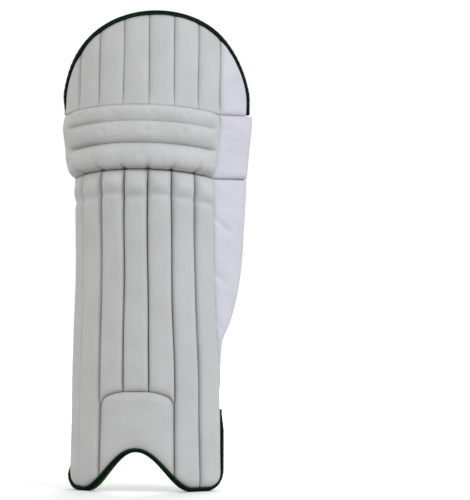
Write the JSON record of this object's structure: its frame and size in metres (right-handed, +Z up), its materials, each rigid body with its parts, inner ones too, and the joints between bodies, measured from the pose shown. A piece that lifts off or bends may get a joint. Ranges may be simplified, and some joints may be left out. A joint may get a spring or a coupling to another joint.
{
  "type": "cricket batting pad",
  "caption": "Leg guard with ribbed padded front, knee rolls, arched thigh flap, side wing, quilted mesh bolsters behind and strapped rings that close round the calf.",
  "frame": {"origin": "on the floor under the middle of the upright pad's box", "axes": "+Z up the leg, the ribbed front faces -Y, +X towards the side wing"},
  "size_m": [0.2719, 0.1269, 0.69],
  "materials": {
    "leather": "matt white coated leather, fine grain",
    "binding": "folded dark green binding tape",
    "cloth": "smooth green lining cloth",
    "mesh": "lime spacer mesh with open holes",
    "lining": "smooth white coated lining",
    "webbing": "striped woven webbing",
    "plastic": "moulded white plastic, satin"
  },
  "bodies": {
    "root": {"shin_rib_1": "leather", "flap_rib_1": "leather", "shin_rib_2": "leather", "flap_rib_2": "leather", "shin_rib_3": "leather", "flap_rib_3": "leather", "shin_rib_4": "leather", "flap_rib_4": "leather", "shin_rib_5": "leather", "flap_rib_5": "leather", "shin_rib_6": "leather", "flap_rib_6": "leather", "shin_rib_7": "leather", "flap_rib_7": "leather", "instep_patch": "leather", "knee_roll_lower": "leather", "knee_roll_middle": "leather", "knee_roll_upper": "leather", "flap_wing": "leather", "knee_wing": "leather", "calf_wing": "leather", "flap_binding": "binding", "foot_binding": "binding", "knee_lining": "cloth", "side_lining_plain": "cloth", "side_lining_wing": "cloth", "wing_lining": "cloth", "foot_lining_middle": "cloth", "foot_lining_plain": "cloth", "foot_lining_wing": "cloth", "knee_bolster_plain": "mesh", "knee_bolster_wing": "mesh", "calf_bolster_plain": "mesh", "calf_bolster_wing": "mesh", "thigh_lining": "lining", "shin_lining": "lining", "knee_strap": "webbing", "knee_tab": "webbing", "knee_ring": "plastic", "calf_strap": "webbing", "calf_tab": "webbing", "calf_ring": "plastic", "ankle_strap": "webbing", "ankle_tab": "webbing", "ankle_ring": "plastic"}
  },
  "joints": []
}
